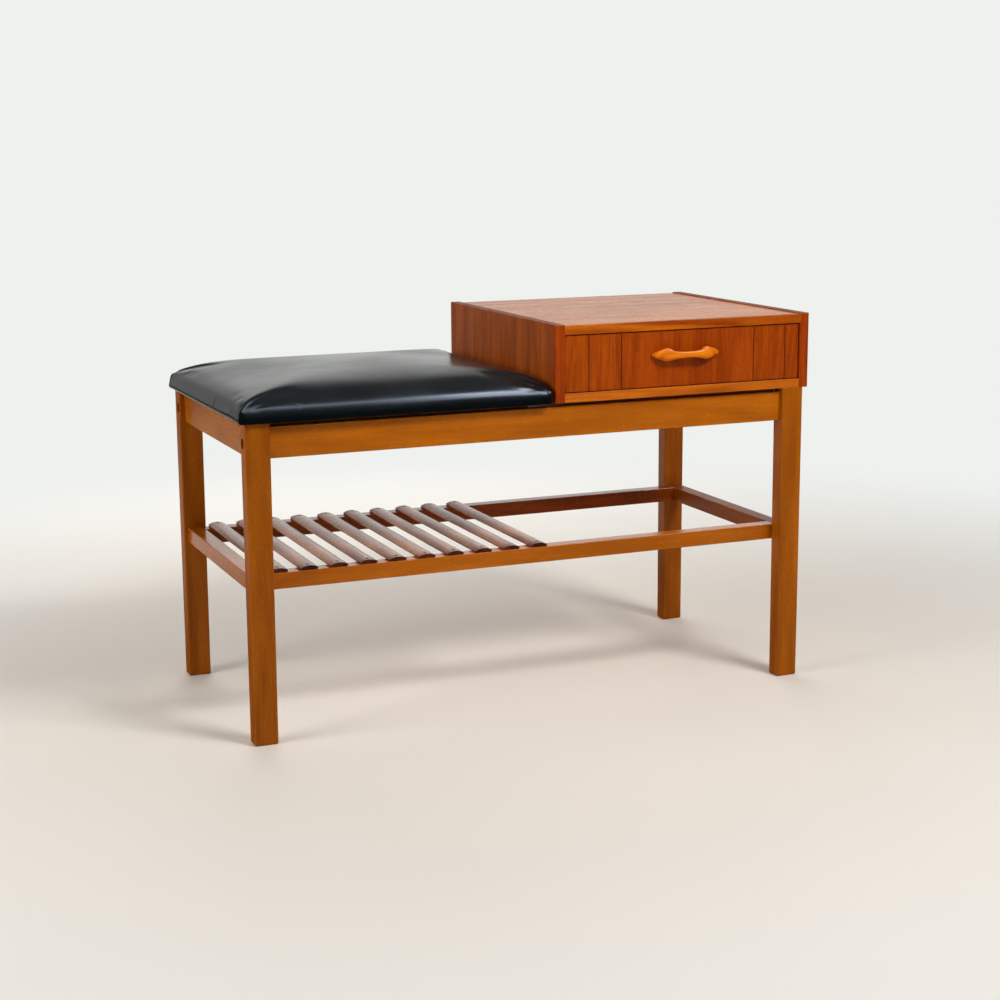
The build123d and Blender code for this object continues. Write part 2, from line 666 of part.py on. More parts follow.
for name, wall in drawer_walls.items():
    nodes[name] = without(wall, groove_tools + [drawer_bottom] + drawer_pin_holes)
back_wall = block((box_inner_left, box_inner_right), (back_wall_front, drawer_end),
                  (bottom_high, box_top))
nodes["drawer_back"] = without(back_wall, drawer_pin_holes)
nodes["drawer_bottom"] = without(drawer_bottom, drawer_pin_holes)
nodes["drawer_pins"] = group(drawer_pins)

handle_screws, handle_holes = [], []
for sign in (-1, 1):
    start = (handle_middle_x + sign * handle_screw_spread / 2, drawer_face_back, handle_middle_z)
    handle_screws.append(screw(start, (0, -1, 0), handle_screw_length))
    handle_holes.append(screw_hole(start, (0, -1, 0), handle_screw_length))
front = block((inner_left + drawer_gap, inner_right - drawer_gap),
              (drawer_face, drawer_face_back),
              (inner_bottom + drawer_gap, inner_top - drawer_gap))
front = eased(front, Axis.Z, lip_edge_radius / 2)
nodes["drawer_front"] = without(front, list(drawer_walls.values()) + [drawer_bottom] + handle_holes)
nodes["handle_screws"] = group(handle_screws)

# ---- Handle: a carved bow, thick where it is screwed and thin in the middle -------------
handle_half = handle_length / 2
stations = [(-share, *rest) for share, *rest in handle_sections]
stations += [(share, *rest) for share, *rest in reversed(handle_sections[:-1])]
rings = []
for share, reach, half_y, half_z in stations:
    ring_plane = Plane(origin=(handle_middle_x + share * handle_half, drawer_face - reach,
                               handle_middle_z), x_dir=(0, 1, 0), z_dir=(1, 0, 0))
    rings.append(ring_plane * Ellipse(half_y, half_z))
handle = loft(rings)
for sign in (-1, 1):
    foot_start = (handle_middle_x + sign * handle_screw_spread / 2, drawer_face, handle_middle_z)
    handle = handle + bar(foot_start, (0, -1, 0), handle_foot_radius, handle_lobe_reach)
nodes["drawer_handle"] = without(handle, handle_holes)

for name, solids in dowel_pegs.items():
    nodes[name] = group(solids)

# ---- Export ----------------------------------------------------------------------------
os.makedirs("parts", exist_ok=True)
for name, shape in nodes.items():
    export_step(Pos(-origin_x, -origin_y, 0) * shape, f"parts/{name}.step")

print(f"{len(nodes)} nodes")
print(f"overall {cabinet_right - seat_left:.1f} x {rearmost - foremost:.1f} x {cabinet_top:.1f} mm")
print(f"origin at {origin_x:.2f}, {origin_y:.2f} from the front left leg's outer corner")
print(f"the runners hold the drawer over {drawer_end - runner_front:.0f} mm of its length")
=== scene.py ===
# %% [markdown]
# # A telephone bench, dressed for its photograph
# The bench arrives as a frame of real pieces: legs, rails, slats, boards, drawer and
# fastenings, each at its true size and place. This file leaves every size alone.
# It gives each piece its finish, models the two pieces whose shape is too soft or too
# carved for plain solids (the padded seat and the handle), and sets up floor, light
# and camera. Everything is in metres, with the floor at Z = 0 and the front towards -Y.

# %% The frame
import math

import bmesh
import bpy
import numpy as np
from mathutils import Matrix, Vector


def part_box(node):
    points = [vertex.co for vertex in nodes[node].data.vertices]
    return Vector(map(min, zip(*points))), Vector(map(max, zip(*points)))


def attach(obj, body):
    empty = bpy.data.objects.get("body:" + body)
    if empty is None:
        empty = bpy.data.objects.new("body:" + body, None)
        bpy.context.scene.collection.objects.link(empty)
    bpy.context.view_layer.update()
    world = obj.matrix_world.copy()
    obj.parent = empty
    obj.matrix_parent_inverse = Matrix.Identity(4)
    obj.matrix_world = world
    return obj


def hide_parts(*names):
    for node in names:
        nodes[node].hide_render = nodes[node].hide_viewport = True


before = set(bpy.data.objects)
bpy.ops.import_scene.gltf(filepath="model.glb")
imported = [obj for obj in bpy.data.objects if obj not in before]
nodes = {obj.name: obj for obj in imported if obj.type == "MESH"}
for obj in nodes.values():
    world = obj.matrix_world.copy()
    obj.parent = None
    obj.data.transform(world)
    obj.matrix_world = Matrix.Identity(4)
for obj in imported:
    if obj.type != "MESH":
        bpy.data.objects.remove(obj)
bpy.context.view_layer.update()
MM = 0.001
scene = bpy.context.scene

# %% [markdown]
# ## The camera
# The photograph was taken from the left and a little above, from about two and a half
# metres, with a longish lens. Straight edges of the bench were lined up with the picture
# until place, turn and focal length agreed, and those values are set here as they came
# out. Turning a camera by three angles is error-prone, so its three axes are worked out
# as vectors and put into one matrix.

# %% Camera where the photographer stood
def add_object(name, data):
    """Puts a mesh, a lamp or a camera into the scene as an object."""
    made = bpy.data.objects.new(name, data)
    scene.collection.objects.link(made)
    return made


CAMERA_PLACE = Vector((-1.0458, -2.5267, 0.8108))
TURN = math.radians(22.84)          # to the right of straight ahead
TILT = math.radians(-11.25)         # downwards
LEAN = math.radians(-0.37)
FOCAL_IN_PIXELS = 1885.5
PICTURE_SIDE = 1000                 # pixels
SENSOR_WIDTH = 36.0                 # millimetres

ahead = Vector((math.sin(TURN) * math.cos(TILT), math.cos(TURN) * math.cos(TILT),
                math.sin(TILT)))
level_right = Vector((math.cos(TURN), -math.sin(TURN), 0))
level_up = level_right.cross(ahead)
camera_right = math.cos(LEAN) * level_right + math.sin(LEAN) * level_up
camera_up = math.cos(LEAN) * level_up - math.sin(LEAN) * level_right

camera = add_object("camera", bpy.data.cameras.new("camera"))
camera.data.sensor_width = SENSOR_WIDTH
camera.data.lens = SENSOR_WIDTH * FOCAL_IN_PIXELS / PICTURE_SIDE
camera.matrix_world = (Matrix.Translation(CAMERA_PLACE)
                       @ Matrix((camera_right, camera_up, -ahead)).transposed().to_4x4())
scene.camera = camera
scene.view_settings.view_transform = "Standard"
print(f"lens {camera.data.lens:.1f} mm")

# %% [markdown]
# ## Small tools for finishes
# A finish is a graph of shader nodes. Written out in full, each node takes four or five
# lines, so short helpers do the wiring: one adds a node and fills its sockets, one does
# arithmetic, one blends two colours, and a few more do what nearly every finish needs.
# Colours are written as the hex codes that a picture shows, and turned into the linear
# values that light is added up in.

# %% Wiring helpers
def paint(code):
    """A picture's hex colour as linear red, green, blue and alpha."""
    shares = [int(code[i:i + 2], 16) / 255 for i in (1, 3, 5)]
    linear = [s / 12.92 if s <= 0.04045 else ((s + 0.055) / 1.055) ** 2.4 for s in shares]
    return linear + [1.0]


def put(tree, kind, sockets=None, **settings):
    """Adds a shader node. A socket takes a number, a colour or another node's output."""
    made = tree.nodes.new("ShaderNode" + kind)
    for key, value in settings.items():
        setattr(made, key, value)
    for key, value in (sockets or {}).items():
        if isinstance(value, bpy.types.NodeSocket):
            tree.links.new(value, made.inputs[key])
        else:
            made.inputs[key].default_value = value
    return made


def sums(tree, operation, *values, clamp=False):
    """One step of arithmetic on numbers or outputs."""
    made = put(tree, "Math", dict(enumerate(values)), operation=operation, use_clamp=clamp)
    return made.outputs[0]


def blend_colours(tree, share, first, second, way="MIX"):
    """Blends two colours by a share, in one of the shader's ways."""
    made = put(tree, "Mix", {0: share, 6: first, 7: second}, data_type="RGBA", blend_type=way)
    return made.outputs[2]


def tinted(tree, colour, tint):
    """Multiplies a colour by a tint."""
    return blend_colours(tree, 1.0, colour, tint, "MULTIPLY")


def fade(tree, value, start, end):
    """0 below start, 1 above end, and a soft step between."""
    made = put(tree, "MapRange", {"Value": value, "From Min": start, "From Max": end},
               interpolation_type="SMOOTHSTEP")
    return made.outputs["Result"]


def new_finish(name, **sockets):
    """A material with one shader, whose even values are set on the shader itself."""
    material = bpy.data.materials.new(name)
    material.use_nodes = True
    tree = material.node_tree
    shader = tree.nodes["Principled BSDF"]
    for key, value in sockets.items():
        shader.inputs[key.replace("_", " ")].default_value = value
    return material, tree, shader


def object_place(tree):
    """The place of the point that is shaded, in metres."""
    return put(tree, "TexCoord").outputs["Object"]


def apart(tree, place, point):
    """Distance between two places."""
    made = put(tree, "VectorMath", {0: place, 1: point}, operation="DISTANCE")
    return made.outputs["Value"]


def cloud(tree, place, size, detail=2.0):
    """Soft random blotches of about a size, in metres, as a number from 0 to 1."""
    made = put(tree, "TexNoise", {"Vector": place, "Scale": 1 / size, "Detail": detail})
    return made.outputs["Fac"]


def cells_of(tree, place, size, **settings):
    """Cells of about a size, in metres, each with a colour and a distance from its middle."""
    return put(tree, "TexVoronoi", {"Vector": place, "Scale": 1 / size}, **settings).outputs


def raise_surface(tree, shader, height, strength, depth):
    """Shades the finish as if its heights were carved, with a depth in metres."""
    bump = put(tree, "Bump", {"Strength": strength, "Distance": depth, "Height": height})
    tree.links.new(bump.outputs[0], shader.inputs["Normal"])


# %% [markdown]
# ## Floor, background and lamps
# The light is brightest behind the bench, which is why the black seat looks grey where it
# is seen at a slant. A plain floor that fades into a white background gives the same reflections.
# Rays that the camera sends out meet that white everywhere. Rays of gloss meet it behind
# the bench, something dim in front and something less dim overhead. Rays that light the
# bench meet a dim world all round, so that the lamps and not the background shape it. A
# lamp high in front lights tops and fronts and leaves the rear legs in the seat's shade,
# others fill in from the left and from behind, and two pale sheets overhead are only there
# for gloss: they draw the soft bright line on the seat's front roll.

# %% Floor and background
BACKGROUND = paint("#EFF1EE")
FLOOR_COLOUR = paint("#F2EADF")
FLOOR_RADIUS = 6.0
FLOOR_DROP = 0.2 * MM                   # just below the feet, so that no faces flicker
FADE_START, FADE_END = 0.55, 2.0        # metres from the bench
FILL_COLOUR = paint("#FFFDF8")
FILL_LIGHT = 0.15
DIM_FRONT = 0.03                        # what gloss sees in front of the bench
DIM_ABOVE = 0.15                        # and overhead
ABOVE_FROM, ABOVE_TO = 0.25, 0.50       # how far upwards a ray points where overhead begins
BRIGHT_BEHIND = 1.15
BRIGHT_FROM, BRIGHT_TO = 0.30, 0.60     # how far back a ray points where that part begins,
BRIGHT_TOP, BRIGHT_END = 0.35, 0.42     # how far upwards where it ends,
BRIGHT_LEFT, BRIGHT_RIGHT = -0.14, 0.20     # and how far to the right where it begins
LESS_LEFT, LESS_RIGHT = -0.60, -0.40    # a dimmer part lies to its left
LESS_BRIGHT = 0.45
FLOOR_NEAR, FLOOR_FAR = 0.2, 1.2        # metres towards +Y where the floor turns bright
FLOOR_LEFT, FLOOR_RIGHT = -1.2, -0.2    # and towards +X


def seen_directly(tree, behind):
    """1 for camera and transmission rays, the share that is given for gloss, else 0."""
    path = put(tree, "LightPath").outputs
    gloss = sums(tree, "MULTIPLY", path["Is Glossy Ray"], behind)
    sharp = sums(tree, "MAXIMUM", path["Is Camera Ray"], gloss)
    return sums(tree, "MAXIMUM", sharp, path["Is Transmission Ray"])


world = bpy.data.worlds.new("pale background")
scene.world = world
world.use_nodes = True
sky = world.node_tree
towards = put(sky, "SeparateXYZ", {0: put(sky, "TexCoord").outputs["Generated"]}).outputs
bright_share = sums(sky, "MULTIPLY", fade(sky, towards[1], BRIGHT_FROM, BRIGHT_TO),
                    fade(sky, towards[2], BRIGHT_END, BRIGHT_TOP))
less_share = sums(sky, "MULTIPLY", fade(sky, towards[0], LESS_LEFT, LESS_RIGHT), LESS_BRIGHT)
sideways = sums(sky, "MAXIMUM", fade(sky, towards[0], BRIGHT_LEFT, BRIGHT_RIGHT), less_share)
bright_share = sums(sky, "MULTIPLY", bright_share, sideways)
is_gloss = put(sky, "LightPath").outputs["Is Glossy Ray"]
overhead = fade(sky, towards[2], ABOVE_FROM, ABOVE_TO)
for_gloss = sums(sky, "MULTIPLY_ADD", overhead, DIM_ABOVE - DIM_FRONT, DIM_FRONT)
gloss_more = sums(sky, "SUBTRACT", for_gloss, FILL_LIGHT)
strength = sums(sky, "MULTIPLY_ADD", is_gloss, gloss_more, FILL_LIGHT)
dim = put(sky, "Background", {"Color": FILL_COLOUR, "Strength": strength})
strength = sums(sky, "MULTIPLY_ADD", is_gloss, BRIGHT_BEHIND - 1.0, 1.0)
bright = put(sky, "Background", {"Color": BACKGROUND, "Strength": strength})
either = put(sky, "MixShader", {0: seen_directly(sky, bright_share), 1: dim.outputs[0],
                                2: bright.outputs[0]})
sky.links.new(either.outputs[0], sky.nodes["World Output"].inputs["Surface"])

floor_finish, tree, shader = new_finish("floor", Roughness=0.6, Specular_IOR_Level=0.2)
shader.inputs["Base Color"].default_value = FLOOR_COLOUR
spot = put(tree, "NewGeometry").outputs["Position"]
away = put(tree, "VectorMath", {0: spot}, operation="LENGTH").outputs["Value"]
across, depth = put(tree, "SeparateXYZ", {0: spot}).outputs[:2]
behind = sums(tree, "MULTIPLY", fade(tree, depth, FLOOR_NEAR, FLOOR_FAR),
              fade(tree, across, FLOOR_LEFT, FLOOR_RIGHT))
faded = sums(tree, "MULTIPLY", fade(tree, away, FADE_START, FADE_END),
             seen_directly(tree, behind))
glow = put(tree, "Emission", {"Color": BACKGROUND, "Strength": 1.0})
in_front = sums(tree, "MULTIPLY", put(tree, "LightPath").outputs["Is Glossy Ray"],
                sums(tree, "SUBTRACT", 1.0, behind))
dusk = put(tree, "Emission", {"Color": BACKGROUND, "Strength": DIM_FRONT})
dimmed = put(tree, "MixShader", {0: in_front, 1: shader.outputs[0], 2: dusk.outputs[0]})
ground = put(tree, "MixShader", {0: faded, 1: dimmed.outputs[0], 2: glow.outputs[0]})
tree.links.new(ground.outputs[0], tree.nodes["Material Output"].inputs["Surface"])

disc = bmesh.new()
bmesh.ops.create_circle(disc, cap_ends=True, segments=96, radius=FLOOR_RADIUS)
floor_mesh = bpy.data.meshes.new("floor")
disc.to_mesh(floor_mesh)
disc.free()
floor_mesh.materials.append(floor_finish)
floor = add_object("floor", floor_mesh)
floor.location.z = -FLOOR_DROP
print("floor fades to the background between", FADE_START, "and", FADE_END, "m")

# %% Lamps
BENCH_MIDDLE = (0.0, 0.0, 0.35)
SEAT_TOP = (0.10, -0.1, 0.45)
SHEET_TINT = paint("#D4E2F8")[:3]


def softbox(name, place, aim, width, height, strength, for_gloss=False):
    """A broad lamp, for light or for gloss. Strength is its brightness, where paper is 1."""
    lamp = bpy.data.lights.new(name, "AREA")
    lamp.shape = "RECTANGLE"
    lamp.size, lamp.size_y = width, height
    lamp.energy = strength * math.pi * width * height
    holder = add_object(name, lamp)
    holder.location = place
    holder.rotation_euler = (Vector(aim) - Vector(place)).to_track_quat("-Z", "Y").to_euler()
    holder.visible_glossy = for_gloss
    holder.visible_diffuse = not for_gloss
    if for_gloss:
        lamp.color = SHEET_TINT


softbox("lamp_high", (0.85, -1.75, 2.05), SEAT_TOP, 0.8, 0.5, 32.5)
softbox("lamp_front", (-0.3, -2.7, 1.7), BENCH_MIDDLE, 1.6, 1.0, 0.8)
softbox("lamp_left", (-2.6, -0.5, 1.2), BENCH_MIDDLE, 1.2, 1.2, 7.3)
softbox("lamp_behind", (0.3, 2.2, 0.9), BENCH_MIDDLE, 2.0, 0.8, 6.0)
softbox("sheet_for_gloss", (0.95, -0.05, 2.15), SEAT_TOP, 1.2, 0.8, 20.0, for_gloss=True)
softbox("sheet_for_gloss_left", (-0.05, -0.05, 2.15), SEAT_TOP, 0.8, 0.8, 5.0,
        for_gloss=True)
print("four lamps for light and two sheets for gloss")

# %% [markdown]
# ## Wood
# Every wooden piece here is one idea with other values: long fibres in one direction.
# The grain could be painted on each face, but boards are cut from a solid, so the
# pattern is made in space and the faces cut through it. The place of each point is
# stretched along the grain, and noise in that stretched space gives broad bands, fine
# fibres and pores. Growth lines come from the level lines of a slow noise, which close
# into the long tongues that a plain-sawn board shows. Faces across the grain are the
# end grain, which drinks more stain and turns darker. Edges that hands and brooms meet
# are rubbed: a box around the piece tells how near a point lies to an edge.

# %% Rubbed edges and stained ends
PORE_SHADE = paint("#6A5A50")
FLECK_TINT = [1.5, 1.6, 1.6, 1.0]
SOAKED_TINT = paint("#D09078")
RUB_WIDTH = 1.6 * MM
RUB_CORE = 0.2 * MM                 # where the rubbing is at its full strength
RUB_PATCH = 18 * MM
PORE_DEPTH = 0.12 * MM


def nearest_edge(tree, place, corners):
    """Distance to the nearest edge of a box, for a point on one of its faces."""
    low, high = corners
    here = put(tree, "SeparateXYZ", {0: place}).outputs
    gaps = []
    for axis in range(3):
        near = sums(tree, "ABSOLUTE", sums(tree, "SUBTRACT", here[axis], low[axis]))
        far = sums(tree, "ABSOLUTE", sums(tree, "SUBTRACT", here[axis], high[axis]))
        gaps.append(sums(tree, "MINIMUM", near, far))
    less = sums(tree, "MINIMUM", gaps[0], gaps[1])
    more = sums(tree, "MAXIMUM", gaps[0], gaps[1])
    return sums(tree, "MAXIMUM", less, sums(tree, "MINIMUM", more, gaps[2]))


def rubbed(tree, colour, place, corners, share, bare):
    """Lets bare wood show in patches along the edges of a box."""
    worn = fade(tree, nearest_edge(tree, place, corners), RUB_WIDTH, RUB_CORE)
    patchy = fade(tree, cloud(tree, place, RUB_PATCH, 3.0), 0.42, 0.66)
    worn = sums(tree, "MULTIPLY", sums(tree, "MULTIPLY", worn, patchy), share)
    return blend_colours(tree, worn, colour, paint(bare))


def soaked(tree, colour, along_grain, ends, length):
    """Reddens the wood over a length at both ends, where it drank the most stain."""
    gaps = [sums(tree, "ABSOLUTE", sums(tree, "SUBTRACT", along_grain, end)) for end in ends]
    share = fade(tree, sums(tree, "MINIMUM", *gaps), length, length * 0.15)
    return blend_colours(tree, share, colour, tinted(tree, colour, SOAKED_TINT))


# %% Wood, in one function
def wood(name, along, pale, dark, corners=None, bands=0.5, lines=0.3, line_count=9.0,
         fibres=0.35, pores=0.25, flecks=0.0, end_shade=0.55, end_stain=0.0, rub=0.25,
         rub_colour="#B98A58", roughness=0.36, gloss=0.35, relief=0.25):
    """A wood finish whose grain runs along X, Y or Z. Shares say how strong each mark is."""
    material, tree, shader = new_finish(name, Specular_IOR_Level=gloss, Coat_Weight=0.0)
    coordinates = put(tree, "TexCoord").outputs
    place = coordinates["Object"]
    lengthwise = "XYZ".index(along)

    def marks(length, width, detail=2.0):
        """Random marks of a length and width, in millimetres, drawn out along the grain."""
        scale = [1000 / width] * 3
        scale[lengthwise] = 1000 / length
        stretched = put(tree, "Mapping", {"Vector": place, "Scale": scale}).outputs[0]
        return cloud(tree, stretched, 1.0, detail)

    broad = fade(tree, marks(260, 26), 0.3, 0.7)
    slow = marks(420, 42, 1.0)
    growth = sums(tree, "SINE", sums(tree, "MULTIPLY", slow, line_count * 2 * math.pi))
    growth = sums(tree, "MULTIPLY_ADD", growth, 0.5, 0.5)
    fine = marks(60, 1.3, 3.0)
    pore = fade(tree, marks(14, 0.55, 1.0), 0.60, 0.72)

    tone = sums(tree, "MULTIPLY", sums(tree, "SUBTRACT", broad, 0.5), bands)
    tone = sums(tree, "MULTIPLY_ADD", sums(tree, "SUBTRACT", growth, 0.5), lines, tone)
    tone = sums(tree, "MULTIPLY_ADD", sums(tree, "SUBTRACT", fine, 0.5), fibres * 2, tone)
    tone = sums(tree, "ADD", tone, 0.5, clamp=True)
    colour = blend_colours(tree, tone, paint(dark), paint(pale))
    in_pores = sums(tree, "MULTIPLY", pore, pores)
    colour = blend_colours(tree, in_pores, colour, tinted(tree, colour, PORE_SHADE))
    if flecks:
        fleck = sums(tree, "MULTIPLY", fade(tree, marks(7, 1.6, 1.0), 0.64, 0.74), flecks)
        colour = blend_colours(tree, fleck, colour, tinted(tree, colour, FLECK_TINT))
    if end_stain:
        along_grain = put(tree, "SeparateXYZ", {0: place}).outputs[lengthwise]
        ends = [corner[lengthwise] for corner in corners]
        colour = soaked(tree, colour, along_grain, ends, end_stain)

    facing = put(tree, "SeparateXYZ", {0: coordinates["Normal"]}).outputs[lengthwise]
    end_grain = fade(tree, sums(tree, "ABSOLUTE", facing), 0.75, 0.95)
    end_tint = [end_shade, end_shade * 0.8, end_shade * 0.7, 1.0]
    colour = blend_colours(tree, end_grain, colour, tinted(tree, colour, end_tint))

    if corners and rub:
        colour = rubbed(tree, colour, place, corners, rub, rub_colour)
    tree.links.new(colour, shader.inputs["Base Color"])

    sheen = sums(tree, "MULTIPLY_ADD", cloud(tree, place, 45 * MM, 3.0), 0.12, roughness - 0.06)
    sheen = sums(tree, "MULTIPLY_ADD", pore, 0.15, sheen)
    tree.links.new(sheen, shader.inputs["Roughness"])
    raise_surface(tree, shader, sums(tree, "SUBTRACT", fine, pore), relief, PORE_DEPTH)
    return material


def dress(node, material):
    """Gives a piece of the frame its finish."""
    for holder in nodes[node].material_slots:
        holder.material = material


# %% [markdown]
# ## The frame's stained beech
# Legs and rails are beech, stained a strong orange brown and thinly lacquered.
# Beech has hardly any figure: faint bands and short flecks, so the marks are weak and fine.
# The rails are painted paler than the legs: painted light, where the light from high above falls on
# them. The legs are also duller, while the rails' tops shine. The rear shelf rail, the right shelf
# end rail and the cross bearer, which stand in the bench's shade, are painted darker: painted shade.
# Each piece gets its own finish because its grain runs its own way and its edges lie elsewhere.

# %% Legs and rails
BEECH = dict(bands=0.55, lines=0.20, line_count=6.0, fibres=0.45, pores=0.35, flecks=0.6,
             end_shade=0.5, rub=0.40, rub_colour="#C88034")
SHINY = dict(roughness=0.20, gloss=0.8)
DULL = dict(roughness=0.36, gloss=0.2)
BEECH_TONES_AND_PAINTED_LIGHT = {                     # the way of the grain, then a pale and a dark tone
    "leg_front_left": ("Z", "#AC5C00", "#844000"),
    "leg_rear_left": ("Z", "#AC5C00", "#844000"),
    "leg_front_right": ("Z", "#B66200", "#8E4600"),
    "leg_rear_right": ("Z", "#B05E00", "#884200"),
    # the rails are painted paler than the legs: painted light from the light high above
    "top_rail_front": ("X", "#CA6E00", "#A45400"),
    "top_rail_rear": ("X", "#C46A00", "#A05000"),
    "shelf_rail_front": ("X", "#C46A00", "#A05000"),
    # painted shade: this rail lies in the shade of the seat and the slats
    "shelf_rail_rear": ("X", "#944000", "#682A00"),
    "top_end_rail_left": ("Y", "#BC6A08", "#964E00"),
    "top_end_rail_right": ("Y", "#BC6A08", "#964E00"),
    "shelf_end_rail_left": ("Y", "#B26002", "#8C4600"),
    # painted shade: this end rail lies in the shade under the bench
    "shelf_end_rail_right": ("Y", "#984C00", "#703400"),
    # painted shade: the cross bearer lies in the shade under the seat and the cabinet
    "cross_bearer": ("Y", "#7E3E08", "#5A2604"),
}
for name, (grain, pale_tone, dark_tone) in BEECH_TONES_AND_PAINTED_LIGHT.items():
    shine = DULL if name.startswith("leg") or name == "shelf_end_rail_right" else SHINY
    dress(name, wood(name + "_beech", grain, pale_tone, dark_tone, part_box(name),
                     **BEECH, **shine))
print(len(BEECH_TONES_AND_PAINTED_LIGHT), "pieces of beech")

# %% [markdown]
# ## Slats of dark teak
# The slats are darker than the frame. Their rounded tops meet the light from behind at a
# slant and look grey, which the shader does by itself. Their ends are end grain and drank the
# most stain, so the last two centimetres are redder. Each nail has left a black spot.

# %% Slats
SLAT_TEAK = dict(pale="#BC7C54", dark="#703C22", bands=0.6, lines=0.35, line_count=7.0,
                 fibres=0.5, pores=0.8, end_shade=0.42, end_stain=20 * MM, rub=0.3,
                 rub_colour="#8A5638", roughness=0.25, gloss=1.3, relief=0.25)
NAIL_HEAD = 1.4 * MM                # radius of a nail's head
NAIL_STAIN = 3.6 * MM               # and of the spot around it
SPOT_COLOUR = paint("#1C0A04")
nails_low, nails_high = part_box("slat_nails")


def stained(material, spots):
    """Iron from a nail's head blackens the wood around it."""
    tree = material.node_tree
    shader = tree.nodes["Principled BSDF"]
    colour = shader.inputs["Base Color"].links[0].from_socket
    sheen = shader.inputs["Roughness"].links[0].from_socket
    place = object_place(tree)
    for spot in spots:
        share = fade(tree, apart(tree, place, spot), NAIL_STAIN, NAIL_HEAD)
        colour = blend_colours(tree, share, colour, SPOT_COLOUR)
        sheen = sums(tree, "MAXIMUM", sheen, share)
    tree.links.new(colour, shader.inputs["Base Color"])
    tree.links.new(sheen, shader.inputs["Roughness"])
    return material


slat_names = sorted(name for name in nodes if name.startswith("slat_") and name != "slat_nails")
for name in slat_names:
    slat_low, slat_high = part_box(name)
    over_nails = [Vector(((slat_low.x + slat_high.x) / 2, row, slat_high.z))
                  for row in (nails_low.y + NAIL_HEAD, nails_high.y - NAIL_HEAD)]
    finish = wood(name + "_teak", "Y", corners=(slat_low, slat_high), **SLAT_TEAK)
    dress(name, stained(finish, over_nails))
print(len(slat_names), "slats")

# %% [markdown]
# ## Teak veneer and edgings
# The cabinet is board with teak veneer. On the sides the grain stands upright, on the top and bottom
# it runs along the bench. The solid strips glued to the front edges are the teak's own red at the
# sides. Above and below they are painted paler and more orange: painted light, where the light from
# above catches them.

# %% Cabinet boards and lips
VENEER = dict(bands=0.6, line_count=8.0)
LIP_TEAK = dict(bands=0.8, fibres=0.5, pores=0.5, end_shade=0.6, rub=0.35,
                rub_colour="#C87A3A", roughness=0.42, gloss=0.12)
for name in ("cabinet_side_left", "cabinet_side_right"):
    dress(name, wood(name + "_veneer", "Z", "#B85A1A", "#883A08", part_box(name), lines=0.20,
                     fibres=0.5, pores=0.4, end_shade=0.6, roughness=0.45, gloss=0.12,
                     relief=0.3, **VENEER))
for name in ("cabinet_top", "cabinet_bottom"):
    dress(name, wood(name + "_veneer", "X", "#E28236", "#AE5C1A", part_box(name), lines=0.4,
                     fibres=0.4, pores=0.3, roughness=0.28, gloss=0.14, relief=0.06,
                     **VENEER))
for name in ("lip_left", "lip_right"):
    dress(name, wood(name + "_teak", "Z", "#AA4206", "#7C2600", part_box(name), lines=0.4,
                     **LIP_TEAK))
# painted light: these two strips get paler, more orange tones than the side strips
dress("lip_top", wood("lip_top_teak", "X", "#C66408", "#8C3000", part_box("lip_top"), lines=0.8,
                      line_count=5.0, **LIP_TEAK))
dress("lip_bottom", wood("lip_bottom_teak", "X", "#CC6C16", "#9E4400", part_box("lip_bottom"),
                         lines=0.4, **LIP_TEAK))
print("four boards and four lips")

# %% [markdown]
# ## The drawer front's veneer
# The drawer front is covered with upright leaves of teak, laid side by side. Their joints
# show as thin dark lines, and each leaf has its own tone. The leaves' edges were measured
# along the drawer. The leaf of a point is found by comparing its X with each joint, and
# each joint shifts the tone a little.

# %% Drawer front
LEAF_JOINTS = (0.0746, 0.1248, 0.3361, 0.3877)      # X of the joints between leaves, in metres
LEAF_TONES = (0.55, 0.35, 0.0, 0.3, 0.1)            # share of the yellower tone in each leaf
JOINT_WIDTH = 0.9 * MM
YELLOWER_TINT = [1.12, 1.35, 1.6, 1.0]
JOINT_SHADE = paint("#6E5A50")


def leafed(material, joints, tones):
    """Shifts a wood finish's colour from leaf to leaf and darkens the joints."""
    tree = material.node_tree
    shader = tree.nodes["Principled BSDF"]
    colour = shader.inputs["Base Color"].links[0].from_socket
    x = put(tree, "SeparateXYZ", {0: object_place(tree)}).outputs[0]
    share = tones[0]
    seam = 0.0
    for joint, before, after in zip(joints, tones, tones[1:]):
        past = sums(tree, "GREATER_THAN", x, joint)
        share = sums(tree, "MULTIPLY_ADD", past, after - before, share)
        gap = sums(tree, "ABSOLUTE", sums(tree, "SUBTRACT", x, joint))
        seam = sums(tree, "MAXIMUM", seam, fade(tree, gap, JOINT_WIDTH, JOINT_WIDTH / 3))
    colour = blend_colours(tree, share, colour, tinted(tree, colour, YELLOWER_TINT))
    colour = blend_colours(tree, seam, colour, tinted(tree, colour, JOINT_SHADE))
    tree.links.new(colour, shader.inputs["Base Color"])
    return material


drawer_teak = wood("drawer_front_veneer", "Z", "#B04A04", "#862E00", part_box("drawer_front"),
                   bands=0.5, lines=0.25, line_count=14.0, fibres=0.65, pores=0.6, end_shade=0.6,
                   rub=0.0, roughness=0.45, gloss=0.12)
dress("drawer_front", leafed(drawer_teak, LEAF_JOINTS, LEAF_TONES))
print(len(LEAF_TONES), "leaves on the drawer front")

# %% [markdown]
# ## Hidden wood and boards
# Behind and below, nothing is stained: the cleats and the drawer's box are bare wood, the
# seat's board is particle board, and the cabinet's back and the drawer's bottom are thin
# pressed board. Particle board is not fibres in one direction but chips, so it is made of
# cells of several browns in place of the stretched noise.

